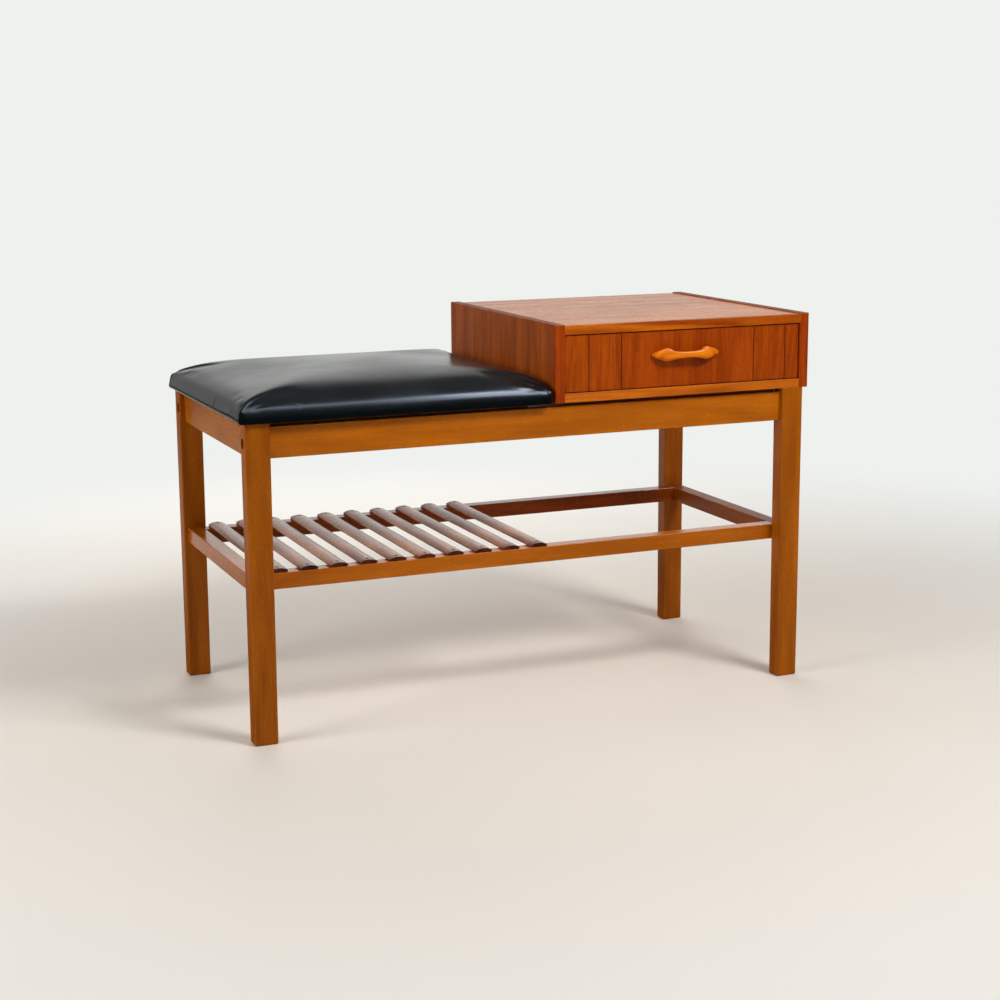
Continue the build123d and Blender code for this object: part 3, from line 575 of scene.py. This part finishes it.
# %% Bare wood
BARE_WOOD = dict(pale="#C79A66", dark="#A87844", bands=0.5, lines=0.35, fibres=0.4, pores=0.2,
                 end_shade=0.75, rub=0.0, roughness=0.6, gloss=0.3, relief=0.4)
BARE_PIECES = {                     # and the way of their grain
    "seat_cleats": "X", "cabinet_cleats": "X",
    "drawer_side_left": "Y", "drawer_side_right": "Y", "drawer_back": "X",
    "runner_left": "Y", "runner_right": "Y",
    "frame_dowels": "Y", "shelf_dowels": "X", "cabinet_dowels": "X",
}
for name, grain in BARE_PIECES.items():
    dress(name, wood(name + "_bare", grain, **BARE_WOOD))
print(len(BARE_PIECES), "bare pieces")

# %% Pressed boards
def chips(name, pale, dark, size, patch, roughness=0.7):
    """Pressed board: flat chips or fibres of mixed browns, in paler and darker patches."""
    material, tree, shader = new_finish(name, Specular_IOR_Level=0.25, Roughness=roughness)
    place = object_place(tree)
    mixed = put(tree, "SeparateColor", {0: cells_of(tree, place, size)["Color"]}).outputs[0]
    blotch = fade(tree, cloud(tree, place, patch, 5.0), 0.35, 0.65)
    blotch = sums(tree, "MULTIPLY", blotch, 0.45)
    share = sums(tree, "MULTIPLY_ADD", mixed, 0.55, blotch, clamp=True)
    colour = blend_colours(tree, share, paint(dark), paint(pale))
    tree.links.new(colour, shader.inputs["Base Color"])
    raise_surface(tree, shader, mixed, 0.4, 0.15 * MM)
    return material


dress("seat_board", chips("seat_board_chips", "#C2A076", "#8E6A44", 2.4 * MM, 30 * MM))
for name in ("cabinet_back", "drawer_bottom"):
    dress(name, chips(name + "_fibre", "#96683C", "#5E3E22", 0.8 * MM, 60 * MM, 0.5))
print("three pressed boards")

# %% [markdown]
# ## Steel
# Bolts, screws, nails and staples are small, but the nail heads show as dark dots on the
# slats. Old nails are dull and stained, so the steel gets brown blotches that are rougher
# and less metallic.

# %% Fastenings
def steel(name, stain):
    """Dull steel with brown stain over a share of it."""
    material, tree, shader = new_finish(name)
    blotch = cloud(tree, object_place(tree), 1.5 * MM, 3.0)
    rust = sums(tree, "MULTIPLY", fade(tree, blotch, 0.40, 0.62), stain)
    colour = blend_colours(tree, rust, paint("#8E8C88"), paint("#1E120C"))
    tree.links.new(colour, shader.inputs["Base Color"])
    tree.links.new(sums(tree, "SUBTRACT", 1.0, rust), shader.inputs["Metallic"])
    tree.links.new(sums(tree, "MULTIPLY_ADD", rust, 0.4, 0.34), shader.inputs["Roughness"])
    return material


old_steel = steel("steel_stained", 1.0)
clean_steel = steel("steel_dull", 0.25)
for name in ("slat_nails", "back_nails", "drawer_pins"):
    dress(name, old_steel)
for name in ("frame_bolts", "barrel_nuts", "cleat_screws", "runner_screws", "handle_screws",
             "seat_staples"):
    dress(name, clean_steel)
print("nine groups of fastenings")

# %% [markdown]
# ## The seat's form
# The seat is a board with foam on it, covered in black vinyl that is pulled down over the
# edges and stapled underneath. Its side stands almost upright for 12 to 18 mm, rolls over
# within a few centimetres and then rises slowly to the middle. At the front the foam is worn
# round, at the left it is flat behind a sharper edge, and at the rear and right it is still
# full, so there are three profiles. Where two sides meet, the rolls cross in a mitre. A
# cube with subdivision would round this away, so the form is built from its profiles: a
# square net of lines is laid over the seat, the outermost line follows the rounded
# outline, and every point's height comes from its distances to the sides.

# %% Profile and outline
seat_low, seat_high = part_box("seat_cover")
seat_middle = (seat_low + seat_high) / 2
HALF_LENGTH = (seat_high.x - seat_low.x) / 2
HALF_DEPTH = (seat_high.y - seat_low.y) / 2
SIDE_HEIGHT = 18 * MM               # of the upright part, at the rear and right
CROWN_HEIGHT = seat_high.z - seat_low.z
# Height of the upright part, how steeply it rolls over, and how far in the top is level.
FRONT = (12 * MM, 13 * MM, 48 * MM)
LEFT = (18 * MM, 8 * MM, 48 * MM)
FULLER = (SIDE_HEIGHT, 22 * MM, 31 * MM)
CORNER_RADIUS = 10 * MM
NET = 88                            # meshes of the net along each way
MITRE_SOFTNESS = 0.8 * MM

steps = np.linspace(0, 1, 200)


def roll_over(coordinate, half, low_side):
    """Height of the seat along one way, counted from its middle. The far side is fuller."""
    upright, roll, shoulder = low_side if coordinate < 0 else FULLER
    in_from_side = 3 * (1 - steps) * steps**2 * shoulder + steps**3 * half
    height = (upright * (1 - steps)**3 + 3 * (upright + roll) * (1 - steps)**2 * steps
              + 3 * CROWN_HEIGHT * (1 - steps) * steps**2 + CROWN_HEIGHT * steps**3)
    return np.interp(half - abs(coordinate), in_from_side, height)


def top_height(x, y):
    """Height at a point counted from the seat's middle, where the lower of two rolls wins."""
    from_ends = roll_over(x, HALF_LENGTH, LEFT)
    from_sides = roll_over(y, HALF_DEPTH, FRONT)
    lower = np.minimum(from_ends, from_sides)
    return lower - MITRE_SOFTNESS * np.log1p(np.exp(-abs(from_ends - from_sides) / MITRE_SOFTNESS))


def on_outline(u, v, inset=0.0):
    """The outline's point for a point of the unit square's edge, with rounded corners."""
    x = u * (HALF_LENGTH - inset)
    y = v * (HALF_DEPTH - inset)
    radius = max(CORNER_RADIUS - inset, 1 * MM)
    centre_x = HALF_LENGTH - inset - radius
    centre_y = HALF_DEPTH - inset - radius
    if abs(x) > centre_x and abs(y) > centre_y:
        out = Vector((abs(x) - centre_x, abs(y) - centre_y)).normalized() * radius
        x = math.copysign(centre_x + out.x, x)
        y = math.copysign(centre_y + out.y, y)
    return x, y


inner = roll_over(30 * MM - HALF_DEPTH, HALF_DEPTH, FRONT)
print(f"seat {2 * HALF_LENGTH / MM:.0f} x {2 * HALF_DEPTH / MM:.0f} x "
      f"{CROWN_HEIGHT / MM:.0f} mm, {inner / MM:.1f} mm high 30 mm in from the front")

# %% [markdown]
# The net becomes a closed skin: the top, three rows down the side, the rounded lower edge
# and the underside. A closed skin is needed for the next step, because air pressure only
# works on something that holds air.

# %% Net to closed skin
SIDE_ROWS = ((0.0, 0.75), (0.0, 0.5), (0.0, 0.28))  # inset, share of the way up the side
EDGE_ROWS = ((0.3, 2.6), (1.5, 1.0), (5.0, 0.0))    # inset and height, in millimetres


def seat_net():
    """Corner points and faces of the seat's closed skin."""
    count = NET + 1
    ticks = np.linspace(-1, 1, count)
    points, faces = [], []
    top, bottom = {}, {}
    for i, u in enumerate(ticks):
        for j, v in enumerate(ticks):
            ring = max(abs(u), abs(v))
            x, y = on_outline(u / ring, v / ring) if ring else (0.0, 0.0)
            top[i, j] = len(points)
            points.append((x * ring, y * ring, float(top_height(x * ring, y * ring))))
    rim = ([(i, 0) for i in range(NET)] + [(NET, j) for j in range(NET)]
           + [(i, NET) for i in range(NET, 0, -1)] + [(0, j) for j in range(NET, 0, -1)])
    for i in range(NET):
        for j in range(NET):
            faces.append((top[i, j], top[i + 1, j], top[i + 1, j + 1], top[i, j + 1]))
    above = [top[key] for key in rim]
    rows = [(inset, share, None) for inset, share in SIDE_ROWS]
    rows += [(inset * MM, None, height * MM) for inset, height in EDGE_ROWS]
    for inset, share, height in rows:
        below = []
        for (i, j), upper in zip(rim, [top[key] for key in rim]):
            x, y = on_outline(ticks[i], ticks[j], inset)
            below.append(len(points))
            points.append((x, y, share * points[upper][2] if height is None else height))
        for k in range(len(rim)):
            after = (k + 1) % len(rim)
            faces.append((below[k], below[after], above[after], above[k]))
        above = below
    for key, index in zip(rim, above):
        bottom[key] = index
    inset = EDGE_ROWS[-1][0] * MM
    for i in range(1, NET):
        for j in range(1, NET):
            ring = max(abs(ticks[i]), abs(ticks[j]))
            x, y = on_outline(ticks[i] / ring, ticks[j] / ring, inset) if ring else (0.0, 0.0)
            bottom[i, j] = len(points)
            points.append((x * ring, y * ring, 0.0))
    for i in range(NET):
        for j in range(NET):
            faces.append((bottom[i, j], bottom[i, j + 1], bottom[i + 1, j + 1], bottom[i + 1, j]))
    return points, faces


net_points, net_faces = seat_net()
base = Vector((seat_middle.x, seat_middle.y, seat_low.z))
skin_mesh = bpy.data.meshes.new("seat_cover_vinyl")
skin_mesh.from_pydata([tuple(Vector(p) + base) for p in net_points], [], net_faces)
skin_mesh.validate()
skin = add_object("seat_cover_vinyl", skin_mesh)
print(len(net_points), "points in the skin")

# %% [markdown]
# ## Blowing the seat up
# Real vinyl over foam is never as exact as a profile: it bulges between the places where it is held.
# The skin is made a cloth, its underside and lower edge are held still, air pressure fills it for
# twenty frames, and the result is kept. How far a point may move is capped, because the board and the
# roll must stay where they are.

# %% Cloth under pressure
PRESSURE = 4.0
LAST_FRAME = 20
START_SMALLER = 0.9 * MM            # the skin starts inside its form, because it swells
MOST_SWELL = 1.4 * MM
HELD_BELOW = 7 * MM                 # height where the skin is held still,
FREE_ABOVE = 14 * MM                # and where it is quite free


def positions(mesh):
    """All points of a mesh as rows of X, Y and Z."""
    flat = np.zeros(len(mesh.vertices) * 3)
    mesh.vertices.foreach_get("co", flat)
    return flat.reshape(-1, 3)


def blow_up(piece):
    """Fills a closed skin with air as cloth, and keeps a capped share of its swelling."""
    before = positions(piece.data)
    height = before[:, 2] - seat_low.z
    low = height < HELD_BELOW
    freedom = np.clip((height - HELD_BELOW) / (FREE_ABOVE - HELD_BELOW), 0.0, 1.0)[:, None]
    outward = np.array([v.normal for v in piece.data.vertices])
    before -= outward * START_SMALLER * freedom
    piece.data.vertices.foreach_set("co", before.ravel())
    piece.data.update()
    held = piece.vertex_groups.new(name="held")
    held.add([int(i) for i in np.nonzero(low)[0]], 1.0, "REPLACE")
    cloth = piece.modifiers.new("air", "CLOTH")
    values = cloth.settings
    values.quality = 4
    values.mass = 0.4
    values.tension_stiffness = values.compression_stiffness = 40
    values.shear_stiffness = 20
    values.bending_stiffness = 8
    values.use_pressure = True
    values.uniform_pressure_force = PRESSURE
    values.vertex_group_mass = "held"
    values.effector_weights.gravity = 0
    cloth.point_cache.frame_end = LAST_FRAME
    for number in range(1, LAST_FRAME + 1):
        scene.frame_set(number)
    graph = bpy.context.evaluated_depsgraph_get()
    swollen = positions(piece.evaluated_get(graph).data)
    piece.modifiers.remove(cloth)
    piece.vertex_groups.remove(held)
    scene.frame_set(1)
    moved = swollen - before
    length = np.linalg.norm(moved, axis=1, keepdims=True)
    kept = before + moved * np.minimum(1.0, MOST_SWELL * freedom / np.maximum(length, 1e-9))
    piece.data.vertices.foreach_set("co", kept.ravel())
    return float(length.max())


print(f"the skin wanted to swell by {blow_up(skin) / MM:.1f} mm")

# %% [markdown]
# One subdivision makes the net fine enough for small marks. Then come the marks
# that a stretched cover has: shallow waves that run in from the corners, where the vinyl
# was pulled hardest, a fold at each corner where the surplus was tucked under, and a small
# pucker on the front roll. They are pushes along the surface's own direction, each limited
# to the place where it belongs.

# %% Finer skin, tucks and wrinkles
TUCK_HEIGHT = 0.9 * MM
TUCK_WIDTH = 2.6 * MM
TUCK_REACH = 20 * MM                # how far a tuck goes from its corner
WAVE_HEIGHT = 0.35 * MM
WAVES_PER_RADIAN = 17
WAVE_PLACE = 30 * MM                # how far from the corner the waves are strongest
WAVE_REACH = 26 * MM
PUCKER_PLACE = Vector((-0.343, -0.188, 0.456))
PUCKER_SIZE = 7 * MM
PUCKER_DEPTH = 8 * MM               # how far it goes in from the front
PUCKER_HEIGHT = 0.5 * MM
PUCKER_STEP = 2.2 * MM


def subdivided(piece):
    """Applies one smooth subdivision to a piece's mesh."""
    piece.modifiers.new("finer", "SUBSURF").levels = 1
    graph = bpy.context.evaluated_depsgraph_get()
    finer = bpy.data.meshes.new_from_object(piece.evaluated_get(graph))
    piece.modifiers.clear()
    piece.data = finer


def bell(distance, width):
    """1 at no distance, falling off softly over a width."""
    return np.exp(-(distance / width) ** 2)


def mark_cover(piece):
    """Presses tucks, waves and a pucker into the cover."""
    mesh = piece.data
    place = positions(mesh)
    normals = np.array([v.normal for v in mesh.vertices])
    local = place - np.array(base)
    x, y, z = local.T
    push = np.zeros(len(place))
    for sign_x in (-1, 1):
        for sign_y in (-1, 1):
            reach = np.hypot(x - sign_x * HALF_LENGTH, y - sign_y * HALF_DEPTH)
            # The fold stands at the corner's end face and runs up over the mitre.
            beside = (sign_y * y - (HALF_DEPTH - 0.72 * CORNER_RADIUS)
                      - 0.9 * (sign_x * x - HALF_LENGTH))
            groove = bell(beside + 1.6 * TUCK_WIDTH, TUCK_WIDTH)
            ridge = bell(beside, TUCK_WIDTH) - 0.8 * groove
            push += TUCK_HEIGHT * ridge * bell(reach, TUCK_REACH)
            # The waves fan out from the corner, and each corner's begin elsewhere.
            angle = np.arctan2(HALF_DEPTH - sign_y * y, HALF_LENGTH - sign_x * x)
            waves = np.sin(angle * WAVES_PER_RADIAN + sign_x * 1.3 + sign_y * 0.7)
            near = bell(reach - WAVE_PLACE, WAVE_REACH) * (z > SIDE_HEIGHT)
            push += WAVE_HEIGHT * waves * near
    around_x = place[:, 0] - PUCKER_PLACE.x
    around_z = place[:, 2] - PUCKER_PLACE.z
    front = bell(np.abs(place[:, 1] - PUCKER_PLACE.y), PUCKER_DEPTH)
    fold = np.sin((around_x + 1.5 * around_z) / PUCKER_STEP)
    push += PUCKER_HEIGHT * fold * bell(np.hypot(around_x, around_z * 2), PUCKER_SIZE) * front
    mesh.vertices.foreach_set("co", (place + normals * push[:, None]).ravel())
    mesh.update()
    return float(np.abs(push).max())


subdivided(skin)
print(f"deepest mark {mark_cover(skin) / MM:.2f} mm")

# %% [markdown]
# The real cover is a sheet. Underneath it is turned under the board by 22 mm and ends
# there, with the board showing inside the hem. So the middle of the underside is cut away
# and the skin is given the thickness of vinyl, inwards. Before that, a copy shrunk by two
# millimetres becomes the foam. It ends on the board, and its foot stays inside the cover.

# %% Foam inside, hem below
COVER_THICKNESS = 1.0 * MM
FOAM_INSET = 2.0 * MM
FOAM_SKIRT = 6.5 * MM               # the foam's foot keeps this far inside the cover
HEM = 27 * MM                       # from the cover's outer side to the hem's edge
HEM_LIFT = 0.2 * MM                 # keeps the hem clear of the wood that it lies on
BOARD_TOP = seat_low.z + 13 * MM

foam = add_object("seat_foam_block", skin.data.copy())
foam_points = positions(foam.data)
foam_normals = np.array([v.normal for v in foam.data.vertices])
foam_points -= foam_normals * FOAM_INSET
under = foam_points[:, 2] < BOARD_TOP
foam_points[under, 2] = BOARD_TOP
for axis in (0, 1):
    foam_points[under, axis] = np.clip(foam_points[under, axis], seat_low[axis] + FOAM_SKIRT,
                                       seat_high[axis] - FOAM_SKIRT)
foam.data.vertices.foreach_set("co", foam_points.ravel())
foam.data.update()

cut = bmesh.new()
cut.from_mesh(skin.data)
inner_faces = []
for face in cut.faces:
    spot = face.calc_center_median() - base
    inside = abs(spot.x) < HALF_LENGTH - HEM and abs(spot.y) < HALF_DEPTH - HEM
    if inside and spot.z < 1 * MM:
        inner_faces.append(face)
bmesh.ops.delete(cut, geom=inner_faces, context="FACES")
for vert in cut.verts:
    vert.co.z = max(vert.co.z, base.z + HEM_LIFT)
cut.to_mesh(skin.data)
cut.free()
for piece in (skin, foam):
    piece.data.shade_smooth()
skin.modifiers.new("vinyl thickness", "SOLIDIFY").thickness = COVER_THICKNESS
print(len(skin.data.polygons), "faces in the cover")

# %% [markdown]
# ## Black vinyl
# The cover is soft vinyl with a faint grain and a satin gloss. Its colour is almost black
# with a touch of blue. The grey on its top is the background's reflection at a slant, so
# the colour stays dark and the roughness does the work. The grain is a fine net of cells,
# and slow blotches of roughness are where it has been sat on. A thin scratch on the left
# side and a speck on the top are placed where the photograph shows them.

# %% Vinyl and foam finishes
SCRATCH = (Vector((-0.4207, -0.0625, 0.4541)), Vector((-0.4250, -0.0618, 0.4421)))
SCRATCH_WIDTH = 1.0 * MM
SPECK = Vector((-0.3505, -0.0176, 0.4747))
SPECK_SIZE = 1.6 * MM
SATIN = 0.21                        # roughness of the cover where it is glossiest
SAT_ON = 0.07                       # and how much rougher it is where it has been sat on
PEBBLE = 0.9 * MM

vinyl, tree, shader = new_finish("black_vinyl_cover", Specular_IOR_Level=0.26)
place = object_place(tree)
blotch = cloud(tree, place, 70 * MM, 4.0)
colour = blend_colours(tree, blotch, paint("#04070A"), paint("#0B1116"))
along = SCRATCH[1] - SCRATCH[0]
from_start = put(tree, "VectorMath", {0: place, 1: SCRATCH[0]}, operation="SUBTRACT").outputs[0]
run = put(tree, "VectorMath", {0: from_start, 1: along / along.length_squared},
          operation="DOT_PRODUCT").outputs["Value"]
run = sums(tree, "MINIMUM", sums(tree, "MAXIMUM", run, 0.0), 1.0)
foot = put(tree, "VectorMath", {0: along, "Scale": run}, operation="SCALE").outputs[0]
scratched = fade(tree, apart(tree, from_start, foot), SCRATCH_WIDTH * 1.6,
                 SCRATCH_WIDTH * 0.5)
specked = fade(tree, apart(tree, place, SPECK), SPECK_SIZE, SPECK_SIZE * 0.5)
marked = sums(tree, "MAXIMUM", scratched, specked)
colour = blend_colours(tree, marked, colour, paint("#020202"))
tree.links.new(colour, shader.inputs["Base Color"])
sat_on = fade(tree, cloud(tree, place, 120 * MM, 3.0), 0.35, 0.7)
dulled = sums(tree, "MULTIPLY_ADD", sat_on, SAT_ON, SATIN)
dulled = sums(tree, "MULTIPLY_ADD", marked, 0.6, dulled, clamp=True)
tree.links.new(dulled, shader.inputs["Roughness"])
pebbles = cells_of(tree, place, PEBBLE, feature="SMOOTH_F1")["Distance"]
sag = cloud(tree, place, 30 * MM, 2.0)
height = sums(tree, "MULTIPLY_ADD", sag, 3.0, pebbles)
height = sums(tree, "MULTIPLY_ADD", marked, -4.0, height)
raise_surface(tree, shader, height, 0.05, 0.12 * MM)
skin.data.materials.append(vinyl)

foam_finish, tree, shader = new_finish("yellow_foam", Roughness=0.95, Specular_IOR_Level=0.1)
place = object_place(tree)
cells = cells_of(tree, place, 0.8 * MM)["Distance"]
aged = blend_colours(tree, cloud(tree, place, 40 * MM, 3.0), paint("#D8C48A"), paint("#B8954E"))
colour = blend_colours(tree, cells, aged, paint("#8E7440"))
tree.links.new(colour, shader.inputs["Base Color"])
raise_surface(tree, shader, cells, 0.6, 0.3 * MM)
foam.data.materials.append(foam_finish)

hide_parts("seat_cover")
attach(skin, "bench")
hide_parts("seat_foam")
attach(foam, "bench")
print("vinyl over foam")

# %% [markdown]
# ## The handle
# The handle is carved from one stick: two pointed lobes where it is screwed on, and a thin
# bow between them that stands off the drawer so that fingertips fit behind. A lathe could
# not make it, because front, back, top and bottom all differ. It is lofted: at each place
# along the stick four numbers say how far it reaches up, down, forwards and back from a
# centre line, and an oval with four different quarters is drawn through them. The upper
# side of the bow is scooped out, so it meets the lobes in a quick step.

# %% Carving the handle
handle_low, handle_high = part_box("drawer_handle")
drawer_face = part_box("drawer_front")[0].y
HANDLE_MIDDLE = Vector(((handle_low.x + handle_high.x) / 2, drawer_face,
                        (handle_low.z + handle_high.z) / 2))
HANDLE_HALF = (handle_high.x - handle_low.x) / 2
# Share of the half length, centre line's distance from the drawer, then reach up, down,
# forwards and back, in millimetres.
CARVING = (
    (0.00, 13.4, 3.9, 4.5, 4.3, 4.3),
    (0.15, 13.1, 4.0, 4.7, 4.4, 4.4),
    (0.28, 12.2, 4.5, 5.5, 4.7, 4.8),
    (0.39, 11.0, 5.3, 6.8, 5.4, 5.7),
    (0.46, 9.6, 6.7, 7.8, 6.6, 6.2),
    (0.51, 8.2, 8.8, 8.8, 7.7, 6.4),
    (0.585, 6.4, 9.6, 9.5, 9.2, 6.3),
    (0.67, 5.6, 8.7, 8.8, 8.6, 5.5),
    (0.78, 4.8, 6.8, 6.9, 6.7, 4.7),
    (0.89, 3.9, 4.7, 4.8, 4.7, 3.8),
    (0.96, 3.2, 2.8, 2.9, 2.9, 3.1),
    (1.00, 2.7, 0.9, 0.9, 1.1, 1.2),
)
HANDLE_STATIONS = 121
HANDLE_RING = 40
OVAL_POWER = 0.86                   # below 1 the oval is a little boxy
SANDINGS = 3                        # rounds of smoothing over the slices


def carved(share, column):
    """A value of the carving at a share of the half length, read between its rows."""
    rows = np.array(CARVING)
    return float(np.interp(abs(share), rows[:, 0], rows[:, column]))


def oval_ring(share):
    """One slice of the handle: an oval with four different quarters."""
    reach, up, down, front, back = (carved(share, column) * MM for column in range(1, 6))
    centre = HANDLE_MIDDLE + Vector((share * HANDLE_HALF, -reach, 0))
    ring = []
    for k in range(HANDLE_RING):
        angle = 2 * math.pi * k / HANDLE_RING
        side = math.copysign(abs(math.cos(angle)) ** OVAL_POWER, math.cos(angle))
        rise = math.copysign(abs(math.sin(angle)) ** OVAL_POWER, math.sin(angle))
        ring.append(centre + Vector((0, side * (back if side > 0 else front),
                                     rise * (up if rise > 0 else down))))
    return ring


carving = bmesh.new()
rings = [[carving.verts.new(point) for point in oval_ring(share)]
         for share in np.linspace(-1, 1, HANDLE_STATIONS)]
for first, second in zip(rings, rings[1:]):
    for k in range(HANDLE_RING):
        after = (k + 1) % HANDLE_RING
        carving.faces.new((first[k], second[k], second[after], first[after]))
carving.faces.new(rings[0])
carving.faces.new(list(reversed(rings[-1])))
for _ in range(SANDINGS):
    bmesh.ops.smooth_vert(carving, verts=carving.verts, factor=0.5, use_axis_x=False,
                          use_axis_y=True, use_axis_z=True)
bmesh.ops.recalc_face_normals(carving, faces=carving.faces)
handle_mesh = bpy.data.meshes.new("drawer_handle_carved")
carving.to_mesh(handle_mesh)
carving.free()
handle_mesh.shade_smooth()
handle = add_object("drawer_handle_carved", handle_mesh)
handle_mesh.materials.append(wood("handle_pale_teak", "X", "#F08204", "#B44600", bands=0.8, lines=0.4,
                                  line_count=7.0, fibres=0.5, pores=0.5, end_shade=0.9,
                                  roughness=0.38, gloss=0.2, relief=0.3))
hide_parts("drawer_handle")
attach(handle, "drawer")
print(f"handle {HANDLE_HALF * 2000:.0f} mm long, {len(handle_mesh.polygons)} faces")
